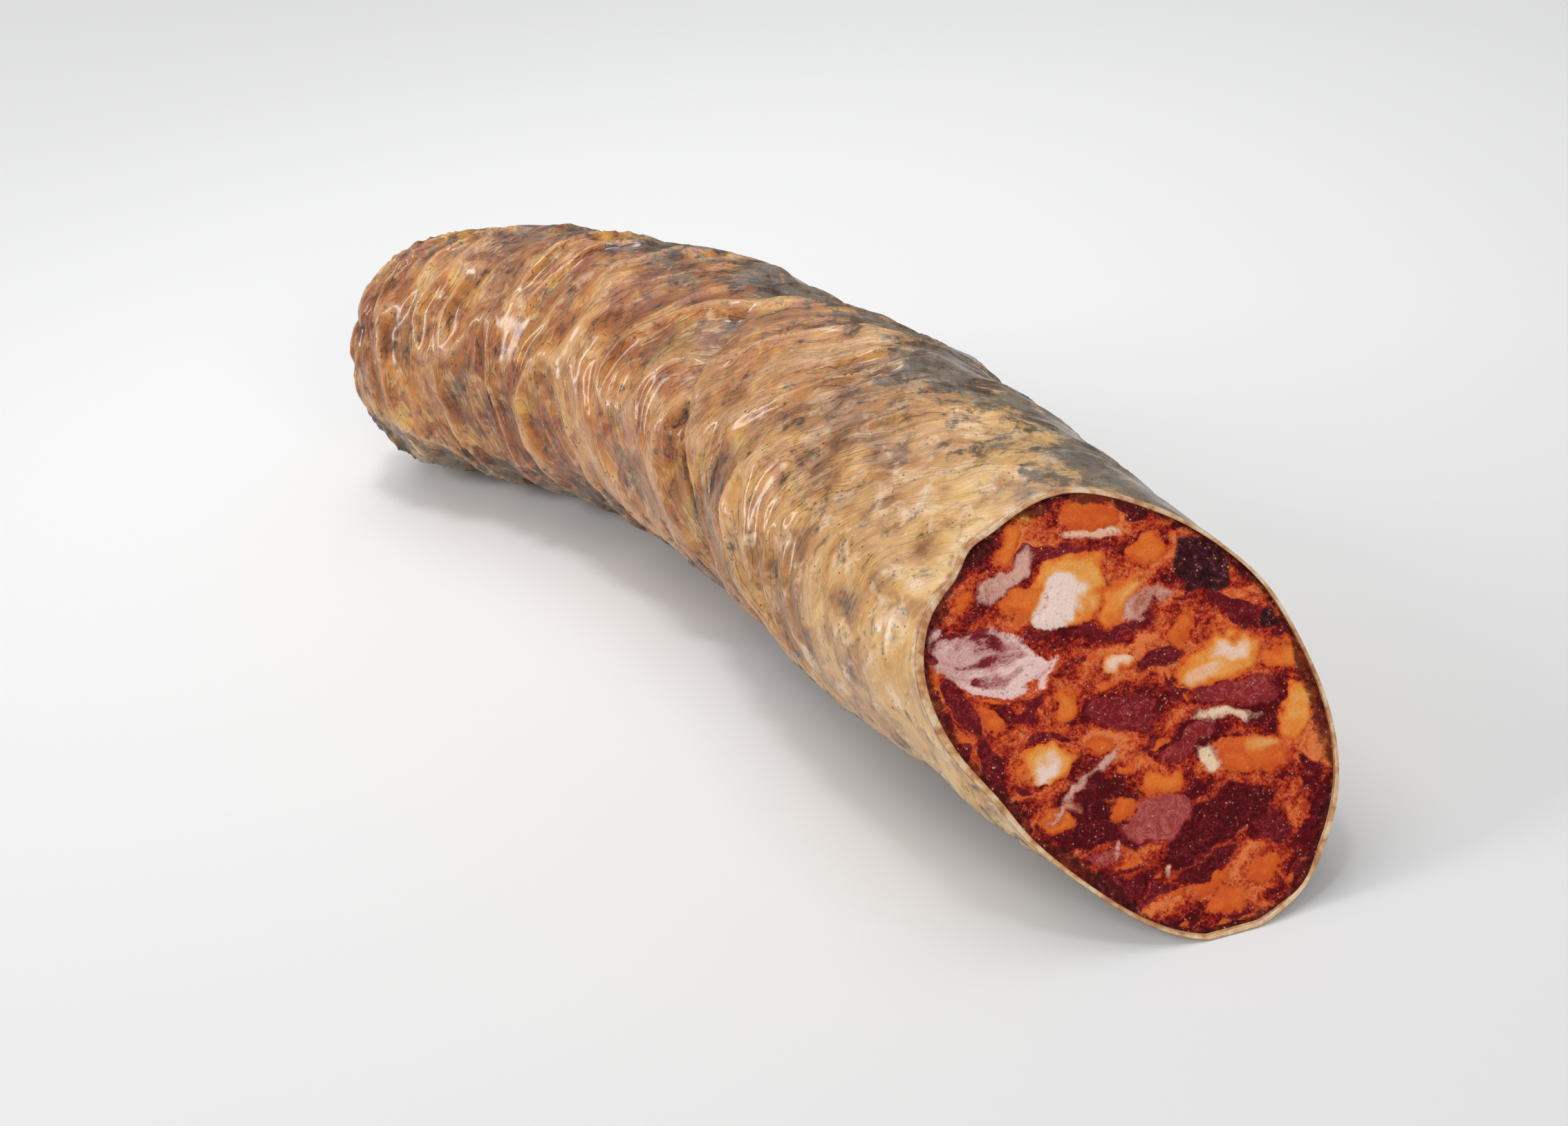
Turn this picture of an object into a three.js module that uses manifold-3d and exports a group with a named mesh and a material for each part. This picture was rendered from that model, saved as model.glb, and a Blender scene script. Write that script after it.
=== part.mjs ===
// Cured sausage, cut across at a slant: a thick curved length of dry-cured meat in a natural gut casing,
// lying on its side on a table. One end is cut open, the other is the sausage's own closed, rounded end.
// Millimetres, +Z up, table at Z = 0, length along +Y, cut end towards -Y, centred over the origin.
import * as THREE from 'three';
import { mergeVertices } from 'three/addons/utils/BufferGeometryUtils.js';
import Module from 'manifold-3d';

// ---- Driving dimensions -------------------------------------------------------------------------------

const CASING_WALL = 0.8; // dried gut
const FIT_GAP = 0.3; // clearance between the casing's inside and the meat
const FLATTENING = 0.8; // how far the underside is pressed flat where it lies
const END_LENGTH = 14; // length of the closed end past the last station
const END_FULLNESS = 2.5; // 2 is a round end, more is a blunter one

// The spine as the sausage lies, in stations about 34 mm apart: x, y, and the radius there. The first
// station lies past the cut, on the side that the knife takes away.
const SPINE = [
  [-19.9, -130.0, 19.4],
  [-11.0, -97.8, 21.3],
  [-6.6, -64.3, 23.9],
  [0.4, -31.1, 24.8],
  [7.0, 2.2, 24.2],
  [9.8, 35.4, 23.8],
  [6.7, 68.7, 23.3],
  [-3.6, 99.4, 22.0],
];
const SPINE_TENSION = 0.5; // even Catmull-Rom
const CUT_STATION = 1.11; // where the middle of the cut is, just past the second station
const LAST_STATION = SPINE.length - 1;

// The knife went in at a slant, so the cut face looks up and out over the near end.
const CUT_ELEVATION = THREE.MathUtils.degToRad(44); // of the way that the face looks
const CUT_HEADING = THREE.MathUtils.degToRad(-114); // in plan, from +X

// The section is not round near the cut: two, three and four soft lobes fade along the length.
const LOBES = [
  { count: 2, height: 0.086, turn: THREE.MathUtils.degToRad(29) },
  { count: 3, height: 0.031, turn: THREE.MathUtils.degToRad(124) },
  { count: 4, height: 0.017, turn: THREE.MathUtils.degToRad(-69) },
];
const LOBE_REACH = 2.2; // stations

// Shrinkage swells that run obliquely round the body, and one fold across its middle, deepest on the left.
const SWELLS = [
  { depth: 0.012, turns: 1, perStation: 0.62, phase: 0.4 },
  { depth: 0.009, turns: 2, perStation: -0.9, phase: 2.1 },
];
const FOLD_STATION = 4.03;
const FOLD_SLANT = 0.35; // stations that it leads by, where it leads most
const FOLD_LEADS_AT = THREE.MathUtils.degToRad(60);
const FOLD_DEEPEST_AT = THREE.MathUtils.degToRad(170);
const FOLD_WIDTH = 0.15; // stations
const FOLD_DEPTH = 0.06; // share of the radius

const KNIFE_BLOCK = 160; // side of the block that is cut away, larger than any section
const MERGE_WITHIN = 1e-4; // vertices closer than this are one

const SIDES = 40; // facets round the body
const RINGS_PER_STATION = 6;
const END_RINGS = 7;

// ---- The curved body ----------------------------------------------------------------------------------

// The spine carries the radius as its third coordinate, so one smooth curve gives both.
const spinePoints = SPINE.map((station) => new THREE.Vector3(...station));
const spine = new THREE.CatmullRomCurve3(spinePoints, false, 'catmullrom', SPINE_TENSION);

// Radius at a place on the skin, with lobes, swells and the fold, at an angle from the right-hand side.
function skinRadius(station, angle) {
  const radius = spine.getPoint(station / LAST_STATION).z;
  const fade = Math.exp(-((Math.max(station - CUT_STATION, 0) / LOBE_REACH) ** 2));
  let share = 1;
  for (const lobe of LOBES) {
    share += fade * lobe.height * Math.cos(lobe.count * angle - lobe.turn);
  }
  for (const swell of SWELLS) {
    const wave = swell.turns * angle + 2 * Math.PI * swell.perStation * station + swell.phase;
    share += swell.depth * Math.sin(wave);
  }
  const foldAt = FOLD_STATION + FOLD_SLANT * Math.cos(angle - FOLD_LEADS_AT);
  const foldDepth = FOLD_DEPTH * (0.6 + 0.4 * Math.cos(angle - FOLD_DEEPEST_AT));
  share -= foldDepth * Math.exp(-(((station - foldAt) / FOLD_WIDTH) ** 2));
  return radius * share;
}

// A point `inset` below the skin. `share` is how far out from the spine it is, 0 to 1, and a station past
// the last one lies in the closed end. Whatever would go through the table is pressed flat on it.
function bodyPoint(station, angle, share, inset) {
  const onSpine = Math.min(station, LAST_STATION);
  const middle = spine.getPoint(onSpine / LAST_STATION);
  const heading = spine.getTangent(onSpine / LAST_STATION).setZ(0).normalize();
  const pastEnd = (station - onSpine) * (END_LENGTH - inset);
  const radius = (skinRadius(onSpine, angle) - inset) * share;
  const across = radius * Math.cos(angle);
  const height = middle.z - FLATTENING + radius * Math.sin(angle);
  return new THREE.Vector3(
    middle.x + heading.x * pastEnd + heading.y * across,
    middle.y + heading.y * pastEnd - heading.x * across,
    Math.max(height, inset),
  );
}

// The whole body as a lathed pin, `share` against station, then bent onto the spine.
function bodyGeometry(inset) {
  const profile = [new THREE.Vector2(0, 0)];
  for (let ring = 0; ring <= LAST_STATION * RINGS_PER_STATION; ring += 1) {
    profile.push(new THREE.Vector2(1, ring / RINGS_PER_STATION));
  }
  for (let ring = 1; ring <= END_RINGS; ring += 1) {
    const along = Math.sin((ring / END_RINGS) * Math.PI / 2);
    const share = (1 - along ** END_FULLNESS) ** (1 / END_FULLNESS);
    profile.push(new THREE.Vector2(share, LAST_STATION + along));
  }
  const geometry = new THREE.LatheGeometry(profile, SIDES);
  const position = geometry.getAttribute('position');
  for (let i = 0; i < position.count; i += 1) {
    const share = Math.hypot(position.getX(i), position.getZ(i));
    const angle = Math.atan2(position.getZ(i), position.getX(i));
    const point = bodyPoint(position.getY(i), angle, share, inset);
    position.setXYZ(i, point.x, point.y, point.z);
  }
  return geometry;
}

// ---- Solids -------------------------------------------------------------------------------------------

const wasm = await Module();
wasm.setup();

// A closed three.js geometry as a solid: shared vertices merged, collapsed triangles dropped.
function solidOf(geometry) {
  const bare = geometry.clone();
  bare.deleteAttribute('normal');
  bare.deleteAttribute('uv');
  const merged = mergeVertices(bare, MERGE_WITHIN);
  const index = merged.getIndex().array;
  const corners = [];
  for (let i = 0; i < index.length; i += 3) {
    const [a, b, c] = [index[i], index[i + 1], index[i + 2]];
    if (a !== b && b !== c && c !== a) {
      corners.push(a, b, c);
    }
  }
  const vertProperties = new Float32Array(merged.getAttribute('position').array);
  const triVerts = new Uint32Array(corners);
  return new wasm.Manifold(new wasm.Mesh({ numProp: 3, vertProperties, triVerts }));
}

// A solid as a named mesh with its own material.
function meshOf(name, solid, material) {
  const { numProp, vertProperties, triVerts } = solid.getMesh();
  const geometry = new THREE.BufferGeometry();
  const position = new THREE.InterleavedBuffer(vertProperties, numProp);
  geometry.setAttribute('position', new THREE.InterleavedBufferAttribute(position, 3, 0));
  geometry.setIndex(Array.from(triVerts));
  const faceted = geometry.toNonIndexed();
  faceted.computeVertexNormals();
  const mesh = new THREE.Mesh(faceted, material);
  mesh.name = name;
  return mesh;
}

// Everything on the far side of the knife: a block whose near face is the cut.
function knifeSide() {
  const middle = spine.getPoint(CUT_STATION / LAST_STATION);
  const cutPoint = new THREE.Vector3(middle.x, middle.y, middle.z - FLATTENING);
  const outward = new THREE.Vector3(
    Math.cos(CUT_ELEVATION) * Math.cos(CUT_HEADING),
    Math.cos(CUT_ELEVATION) * Math.sin(CUT_HEADING),
    Math.sin(CUT_ELEVATION),
  );
  const block = new THREE.BoxGeometry(KNIFE_BLOCK, KNIFE_BLOCK, KNIFE_BLOCK);
  block.translate(0, 0, KNIFE_BLOCK / 2);
  block.applyQuaternion(new THREE.Quaternion().setFromUnitVectors(new THREE.Vector3(0, 0, 1), outward));
  block.translate(cutPoint.x, cutPoint.y, cutPoint.z);
  return solidOf(block);
}

const knife = knifeSide();
const outside = solidOf(bodyGeometry(0));
const inside = solidOf(bodyGeometry(CASING_WALL));
const meat = solidOf(bodyGeometry(CASING_WALL + FIT_GAP));

// ---- The two pieces -----------------------------------------------------------------------------------

// Natural gut casing: a skin dried onto the meat, open at the cut, closed at the far end.
const casing = meshOf(
  'casing',
  outside.subtract(inside).subtract(knife),
  new THREE.MeshStandardMaterial({ color: 0xa9763f, roughness: 0.45, metalness: 0 }),
);

// Cured meat and fat, packed solid, cut flush with the casing.
const filling = meshOf(
  'filling',
  meat.subtract(knife),
  new THREE.MeshStandardMaterial({ color: 0xa8401a, roughness: 0.5, metalness: 0 }),
);

const sausage = new THREE.Group();
sausage.name = 'cured_sausage';
sausage.add(casing, filling);

export default sausage;
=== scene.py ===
import math

import bpy
import numpy as np
from mathutils import Euler, Matrix, Vector


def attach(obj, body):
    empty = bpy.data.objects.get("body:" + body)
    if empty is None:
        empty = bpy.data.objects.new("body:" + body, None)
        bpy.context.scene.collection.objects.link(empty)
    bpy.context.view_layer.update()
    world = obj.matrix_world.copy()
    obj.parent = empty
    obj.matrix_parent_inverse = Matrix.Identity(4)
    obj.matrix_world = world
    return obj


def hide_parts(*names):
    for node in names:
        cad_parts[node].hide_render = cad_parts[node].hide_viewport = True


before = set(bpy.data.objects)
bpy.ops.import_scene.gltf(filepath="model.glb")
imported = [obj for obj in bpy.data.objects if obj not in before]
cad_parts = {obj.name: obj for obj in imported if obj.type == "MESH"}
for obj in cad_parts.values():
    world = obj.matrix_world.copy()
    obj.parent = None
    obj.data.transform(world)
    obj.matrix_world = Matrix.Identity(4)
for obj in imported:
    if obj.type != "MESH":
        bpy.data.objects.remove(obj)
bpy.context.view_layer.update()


# ---- The table, the light and the camera ----------------------------------------------------------------
# A plain white table, lit as a studio lights food: a big softbox overhead, a narrow bright one on the left
# for the wet glints, a fill from the front and a soft pool of light round the sausage. The camera stands at
# the cut end and looks down along it.

TABLE_HALF = 3.0
bpy.ops.mesh.primitive_plane_add(size=2 * TABLE_HALF)
table = bpy.context.object
table.name = "table"

white = bpy.data.materials.new("white_table")
white.use_nodes = True
white.node_tree.nodes["Principled BSDF"].inputs["Base Color"].default_value = (0.88, 0.88, 0.875, 1)
white.node_tree.nodes["Principled BSDF"].inputs["Roughness"].default_value = 0.6
table.data.materials.append(white)


def softbox(name, place, aim, width, height, power):
    """A rectangular lamp at `place` that faces `aim`."""
    lamp = bpy.data.lights.new(name, "AREA")
    lamp.shape = "RECTANGLE"
    lamp.size = width
    lamp.size_y = height
    lamp.energy = power
    holder = bpy.data.objects.new(name, lamp)
    bpy.context.collection.objects.link(holder)
    holder.rotation_euler = (Vector(aim) - Vector(place)).to_track_quat("-Z", "Y").to_euler()
    holder.location = place


softbox("overhead", (0.15, 0.5, 1.0), (0.02, 0.05, 0), width=1.0, height=0.7, power=4.3)
softbox("left_window", (-0.62, 0.5, 0.45), (0, 0, 0.03), width=0.12, height=0.4, power=2.4)
softbox("front_fill", (-0.25, -0.95, 0.47), (0, -0.05, 0.03), width=0.5, height=0.35, power=3.1)

pool = bpy.data.lights.new("pool", "SPOT")
pool.energy = 13
pool.spot_size = math.radians(27)
pool.spot_blend = 1
pool.shadow_soft_size = 0.12
pool_holder = bpy.data.objects.new("pool", pool)
bpy.context.collection.objects.link(pool_holder)
pool_holder.location = (0.05, 0.10, 1.2)

air = bpy.data.worlds.new("studio_air")
air.use_nodes = True
air.node_tree.nodes["Background"].inputs["Color"].default_value = (0.97, 0.98, 1, 1)
air.node_tree.nodes["Background"].inputs["Strength"].default_value = 0.37
bpy.context.scene.world = air
bpy.context.scene.view_settings.view_transform = "Standard"

CAMERA_PLACE = (-0.1995, -0.3128, 0.2052)
CAMERA_HEADING = math.radians(57.8)
CAMERA_DOWN = math.radians(28)
CAMERA_ROLL = math.radians(-10)
FOCAL_LENGTH = 60
SENSOR_WIDTH = 36
lens = bpy.data.cameras.new("camera")
lens.lens = FOCAL_LENGTH
lens.sensor_width = SENSOR_WIDTH
lens.clip_start = 0.01
camera = bpy.data.objects.new("camera", lens)
bpy.context.collection.objects.link(camera)
level_look = Euler((math.pi / 2 - CAMERA_DOWN, 0, CAMERA_HEADING - math.pi / 2)).to_matrix()
camera.rotation_euler = (level_look @ Matrix.Rotation(CAMERA_ROLL, 3, "Z")).to_euler()
camera.location = CAMERA_PLACE
bpy.context.scene.camera = camera


# ---- The casing ------------------------------------------------------------------------------------------
# Natural gut, stuffed, tied at the far end and dried lying down to a skin under a millimetre thick: tan near
# the cut, rust and amber further on, drawn into creases that run round the body, with dark mould in the
# hollows. It is open where it was cut. Lengths are in millimetres until a mesh is made.

MM = 0.001

# The link: a gently bent spine, a section with soft lobes near the cut, slow swells where it shrank, and one
# fold across the middle. A spine row is a station's x, y and radius. A lobe is a count, a height and a turn,
# and a swell is a depth, turns, waves per station and a phase. Heights and depths are shares of the radius.
FLATTENING = 0.8
END_LENGTH = 14
END_FULLNESS = 2.5
SPINE = np.array([
    [-19.9, -130.0, 19.4],
    [-11.0, -97.8, 21.3],
    [-6.6, -64.3, 23.9],
    [0.4, -31.1, 24.8],
    [7.0, 2.2, 24.2],
    [9.8, 35.4, 23.8],
    [6.7, 68.7, 23.3],
    [-3.6, 99.4, 22.0],
])
LAST_STATION = len(SPINE) - 1
STATION_LENGTH = 34
CUT_STATION = 1.11
CUT_ELEVATION = math.radians(44)
CUT_HEADING = math.radians(-114)
LOBES = [(2, 0.086, math.radians(29)), (3, 0.031, math.radians(124)), (4, 0.017, math.radians(-69))]
LOBE_REACH = 2.2
SWELLS = [(0.012, 1, 0.62, 0.4), (0.009, 2, -0.9, 2.1)]
FOLD_STATION, FOLD_SLANT, FOLD_LEADS_AT = 4.03, 0.35, math.radians(60)
FOLD_DEEPEST_AT, FOLD_WIDTH, FOLD_DEPTH = math.radians(170), 0.15, 0.06


def spine_at(station):
    """Point and direction on a Catmull-Rom curve through the stations: x, y and radius, also its height."""
    knots = np.concatenate([[2 * SPINE[0] - SPINE[1]], SPINE, [2 * SPINE[-1] - SPINE[-2]]])
    first = np.clip(np.floor(station).astype(int), 0, LAST_STATION - 1)
    t = (station - first)[..., None]
    a, b, c, d = (knots[first + i] for i in range(4))
    leave, arrive = (c - a) / 2, (d - b) / 2
    bow, twist = 3 * (c - b) - 2 * leave - arrive, 2 * (b - c) + leave + arrive
    return b + leave * t + bow * t**2 + twist * t**3, leave + 2 * bow * t + 3 * twist * t**2


def fold_line(angle):
    """Station of the fold at each angle round the body."""
    return FOLD_STATION + FOLD_SLANT * np.cos(angle - FOLD_LEADS_AT)


def skin_radius(station, angle):
    """Spine radius times one plus lobes that fade from the cut, slow sine swells and a Gaussian fold."""
    fade = np.exp(-((np.maximum(station - CUT_STATION, 0) / LOBE_REACH) ** 2))
    share = 1.0
    for count, height, turn in LOBES:
        share = share + fade * height * np.cos(count * angle - turn)
    for depth, turns, per_station, phase in SWELLS:
        share = share + depth * np.sin(turns * angle + 2 * math.pi * per_station * station + phase)
    fold_depth = FOLD_DEPTH * (0.6 + 0.4 * np.cos(angle - FOLD_DEEPEST_AT))
    share = share - fold_depth * np.exp(-(((station - fold_line(angle)) / FOLD_WIDTH) ** 2))
    return spine_at(station)[0][..., 2] * share


def body_point(station, angle, inset, lift=0.0):
    """Spine point plus the skin radius, less `inset`, plus `lift`, turned by `angle` in an upright section.

    Past the last station the radius closes as a superellipse. The underside stays above the table.
    """
    on_spine = np.minimum(station, LAST_STATION)
    middle, heading = spine_at(on_spine)
    heading = heading[..., :2] / np.linalg.norm(heading[..., :2], axis=-1, keepdims=True)
    past = station - on_spine
    share = np.maximum(1 - past**END_FULLNESS, 0) ** (1 / END_FULLNESS)
    radius = (skin_radius(on_spine, angle) - inset) * share + lift * np.minimum(1, share * 4)
    across = radius * np.cos(angle)
    forward = past * (END_LENGTH - inset)
    x = middle[..., 0] + heading[..., 0] * forward + heading[..., 1] * across
    y = middle[..., 1] + heading[..., 1] * forward - heading[..., 0] * across
    z = np.maximum(middle[..., 2] - FLATTENING + radius * np.sin(angle), inset)
    return np.stack([x, y, z], axis=-1)


cut_outward = np.array([
    math.cos(CUT_ELEVATION) * math.cos(CUT_HEADING),
    math.cos(CUT_ELEVATION) * math.sin(CUT_HEADING),
    math.sin(CUT_ELEVATION),
])
cut_middle = spine_at(np.array(CUT_STATION))[0] - np.array([0, 0, FLATTENING])
cut_right = np.array([-cut_outward[1], cut_outward[0], 0]) / math.cos(CUT_ELEVATION)
cut_up = np.cross(cut_outward, cut_right)


def cut_station(angle, inset):
    """Station where the wall meets the knife, by halving the bracket at each angle."""
    low, high = np.zeros_like(angle), np.full_like(angle, 3.0)
    for _ in range(22):
        half = (low + high) / 2
        beyond = (body_point(half, angle, inset) - cut_middle) @ cut_outward > 0
        low, high = np.where(beyond, half, low), np.where(beyond, high, half)
    return (low + high) / 2


def cloud(points, size, seed):
    """Random field from -1 to 1: random values on a lattice of step `size`, blended by smoothstep weights."""
    values = np.random.default_rng(seed).uniform(-1, 1, (64, 64, 64))
    cell = points / size
    low = np.floor(cell).astype(int)
    part = cell - low
    part = part * part * (3 - 2 * part)
    total = 0.0
    for corner in np.ndindex(2, 2, 2):
        weight = np.prod(np.where(corner, part, 1 - part), axis=-1)
        total = total + weight * values[tuple(np.moveaxis((low + corner) % 64, -1, 0))]
    return total


def smooth(low, high, value):
    """Smoothstep from 0 at `low` to 1 at `high`."""
    t = np.clip((value - low) / (high - low), 0, 1)
    return t * t * (3 - 2 * t)


def rings(rows, columns):
    """Quads of a grid that closes round its columns, and the column and row of each corner for a UV map."""
    row, column = np.meshgrid(np.arange(rows - 1), np.arange(columns), indexing="ij")
    corners = [(0, 0), (1, 0), (1, 1), (0, 1)]
    quads = [(row + i) * columns + (column + j) % columns for i, j in corners]
    places = [np.stack([column + j, row + i], axis=-1) for i, j in corners]
    return np.stack(quads, axis=-1).reshape(-1, 4), np.stack(places, axis=2).reshape(-1, 4, 2)


def mesh_piece(name, points, faces, uv, marks):
    """A mesh object from points in millimetres, lists of equal-sided faces, corner UVs and point marks."""
    mesh = bpy.data.meshes.new(name)
    sides = np.concatenate([np.full(len(group), group.shape[1]) for group in faces])
    corners = np.concatenate([group.reshape(-1) for group in faces])
    mesh.vertices.add(len(points))
    mesh.vertices.foreach_set("co", (points * MM).reshape(-1))
    mesh.loops.add(len(corners))
    mesh.loops.foreach_set("vertex_index", corners)
    mesh.polygons.add(len(sides))
    mesh.polygons.foreach_set("loop_start", np.concatenate([[0], np.cumsum(sides)[:-1]]))
    mesh.polygons.foreach_set("use_smooth", np.ones(len(sides), bool))
    mesh.uv_layers.new(name="OFBake").data.foreach_set("uv", uv.reshape(-1))
    for mark, values in marks.items():
        layer = mesh.attributes.new(mark, "FLOAT", "POINT")
        layer.data.foreach_set("value", np.broadcast_to(values, len(points)).astype(np.float32))
    mesh.update()
    mesh.validate()
    piece = bpy.data.objects.new(name, mesh)
    bpy.context.collection.objects.link(piece)
    return piece


class Wire:
    """A socket that can be added, multiplied and so on: each operator adds its Math node."""

    def __init__(self, tree, socket):
        self.tree, self.socket = tree, socket

    def maths(self, operation, first, second):
        """Adds one Math node and gives its result."""
        made = self.tree.nodes.new("ShaderNodeMath")
        made.operation = operation
        for socket, value in zip(made.inputs, (first, second)):
            join(self.tree, value, socket)
        return Wire(self.tree, made.outputs[0])

    def __add__(self, other):
        return self.maths("ADD", self, other)

    def __sub__(self, other):
        return self.maths("SUBTRACT", self, other)

    def __rsub__(self, other):
        return self.maths("SUBTRACT", other, self)

    def __mul__(self, other):
        return self.maths("MULTIPLY", self, other)

    __radd__, __rmul__ = __add__, __mul__


def join(tree, value, socket):
    """Links a wire to a socket, or sets the socket to a number or colour."""
    if isinstance(value, Wire):
        tree.links.new(value.socket, socket)
    elif isinstance(value, tuple) and len(value) < len(socket.default_value):
        socket.default_value = (*value, 1)
    else:
        socket.default_value = value


class Finish:
    """A material made of nodes, with its Principled shader as `shader`."""

    def __init__(self, name, **constants):
        self.material = bpy.data.materials.new(name)
        self.material.use_nodes = True
        self.tree = self.material.node_tree
        self.shader = self.tree.nodes["Principled BSDF"]
        for socket, value in constants.items():
            self.shader.inputs[socket.replace("_", " ")].default_value = value
        object_place = self.node("ShaderNodeTexCoord", output="Object")
        scaled = {0: object_place, "Scale": 1 / MM}
        self.place = self.node("ShaderNodeVectorMath", {"operation": "SCALE"}, scaled)

    def node(self, kind, settings=None, inputs=None, output=0):
        """Adds a node, sets its properties, then its sockets, and gives one of its outputs."""
        made = self.tree.nodes.new(kind)
        for key, value in (settings or {}).items():
            if key == "stops":
                ramp = made.color_ramp.elements
                while len(ramp) < len(value):
                    ramp.new(0.5)
                for stop, (position, colour) in zip(ramp, value):
                    stop.position, stop.color = position, (*colour, 1)
            else:
                setattr(made, key, value)
        for key, value in (inputs or {}).items():
            join(self.tree, value, made.inputs[key])
        return Wire(self.tree, made.outputs[output])

    def mark(self, name):
        """A number painted on the mesh's points."""
        return self.node("ShaderNodeAttribute", {"attribute_name": name}, output="Fac")

    def noise(self, size, detail=2.0, roughness=0.5, distortion=0.0, place=None):
        """Noise with features about `size` millimetres across."""
        inputs = {"Vector": place or self.place, "Scale": 1 / size, "Detail": detail}
        inputs.update({"Roughness": roughness, "Distortion": distortion})
        return self.node("ShaderNodeTexNoise", {}, inputs)

    def step(self, low, high, value):
        """0 below `low`, 1 above `high`, smooth between; the other way round if `low` is the greater."""
        settings = {"interpolation_type": "SMOOTHSTEP"}
        if low < high:
            return self.node("ShaderNodeMapRange", settings, {0: value, 1: low, 2: high})
        return 1 - self.node("ShaderNodeMapRange", settings, {0: value, 1: high, 2: low})

    def mix(self, share, under, over):
        """`over` painted on `under` with strength `share`."""
        return self.node("ShaderNodeMix", {"data_type": "RGBA"}, {0: share, 6: under, 7: over}, output=2)

    def ramp(self, value, stops):
        """The colour at `value` on a run of colours, each given with its position."""
        return self.node("ShaderNodeValToRGB", {"stops": stops}, {0: value})

    def wear(self, piece, colour, roughness, height, depth):
        """Links colour, roughness and a bump of `height` (0 to 1, `depth` metres) and puts the finish on."""
        join(self.tree, colour, self.shader.inputs["Base Color"])
        join(self.tree, roughness, self.shader.inputs["Roughness"])
        bump = self.node("ShaderNodeBump", {}, {"Height": height, "Distance": depth, "Strength": 1.0})
        join(self.tree, bump, self.shader.inputs["Normal"])
        piece.data.materials.append(self.material)


# The skin's mesh, its thickness, and the creases: heights and depths are in millimetres.
CASING_COLUMNS = 212
OUTSIDE_ROWS = 380
END_ROWS = 46
LINING_ROWS = 22
LINING_END_ROWS = 6
RIM_ROWS = 5
RIM_THICKNESS = 0.5
RIM_PROUD = 0.25
HIDDEN_THICKNESS = 6.5
HIDDEN_STARTS, HIDDEN_FULL = 0.02, 0.35
CREASE_POINTS_AT = math.radians(150)
CREASE_SWEEP, CREASE_SWEEP_LOST = 0.95, 0.55
BIG_CREASE, SMALL_CREASE, LUMP_HEIGHT, GRAIN_HEIGHT = 1.35, 0.55, 0.5, 0.10
SLIT_DEPTH, SLIT_WIDTH = 1.2, 0.045
around = np.linspace(-math.pi / 2, 1.5 * math.pi, CASING_COLUMNS, endpoint=False)


def ring_place(station, angle, squeeze=1.0):
    """Place for a random field that meets itself round the body; `squeeze` above 1 stretches it round."""
    reach = 24 / squeeze
    return np.stack([station * STATION_LENGTH, reach * np.cos(angle), reach * np.sin(angle)], axis=-1)


def crease_across(station, angle):
    """Millimetres across the creases: along the body, plus a chevron that points to the far end on the left.

    The chevron is the root of the squared half-angle sine, plus a little so that its point is round.
    """
    chevron = np.sqrt(np.sin((angle - CREASE_POINTS_AT) / 2) ** 2 + 0.01)
    lean = (CREASE_SWEEP - CREASE_SWEEP_LOST * smooth(4.4, 5.8, station)) * STATION_LENGTH
    place = ring_place(station, angle)
    return place[..., 0] + lean * chevron + 2.6 * cloud(place, 17, 61) + 1.1 * cloud(place, 6, 62)


def creases(station, angle, spacing, seed):
    """Sharp crests from 0 to 1: one minus the size of a random field that is drawn out round the body."""
    place = ring_place(station, angle, 3.2)
    place[..., 0] = crease_across(station, angle)
    return (1 - np.minimum(np.abs(cloud(place / spacing, 1, seed)) * 2.3, 1)) ** 1.5


def relief_of_skin(station, angle):
    """Height over the smooth skin in millimetres, and the share that is crest.

    Two sizes of crease, lumps and grain are summed, and a Gaussian slit follows the fold.
    """
    strength = 0.22 + 0.78 * smooth(1.9, 3.3, station)
    big, small = creases(station, angle, 7.5, 11), creases(station, angle, 3.4, 23)
    place = ring_place(station, angle)
    lumps = cloud(place, 12, 31)
    height = strength * (BIG_CREASE * (big - 0.35) + SMALL_CREASE * (small - 0.4))
    height = height + LUMP_HEIGHT * lumps + GRAIN_HEIGHT * cloud(place, 2.0, 37)
    slit = np.exp(-(((station - fold_line(angle)) / SLIT_WIDTH) ** 2))
    height = height - SLIT_DEPTH * slit * (0.45 + 0.55 * np.cos(angle - FOLD_DEEPEST_AT))
    return height, strength * np.maximum(big, 0.75 * small)


# The cut edge is not a clean oval: the skin has shrunk back in places and stands out between them.
# Each dent or bulge: angle in degrees, height in millimetres, half-width in degrees.
EDGE_DENTS = [
    (118, 1.2, 7),
    (131, -2.2, 9),
    (160, 1.0, 13),
    (188, -0.9, 9),
    (60, -1.3, 14),
    (25, 0.7, 12),
    (-62, 0.8, 10),
]
EDGE_DENT_REACH = 0.9


def edge_dent(station, angle):
    """Height in millimetres of the dents and bulges by the cut, which fade along the body."""
    total = 0.0
    for middle, tall, half in EDGE_DENTS:
        off = np.mod(angle - math.radians(middle) + math.pi, 2 * math.pi) - math.pi
        total = total + tall * np.exp(-((off / math.radians(half)) ** 2))
    return total * np.exp(-(((station - CUT_STATION) / EDGE_DENT_REACH) ** 2))


at_skin = cut_station(around, 0.0)
at_lining = cut_station(around, RIM_THICKNESS)
station_rows = [at_skin + (LAST_STATION - at_skin) * w for w in np.linspace(0, 1, OUTSIDE_ROWS - END_ROWS)]
end_steps = np.linspace(0, math.pi / 2, END_ROWS + 2)[1:-1]
station_rows += [np.full_like(around, LAST_STATION + math.sin(w)) for w in end_steps]
outside_station = np.array(station_rows)
outside_angle = np.broadcast_to(around, outside_station.shape)
relief, crest = relief_of_skin(outside_station, outside_angle)

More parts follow.
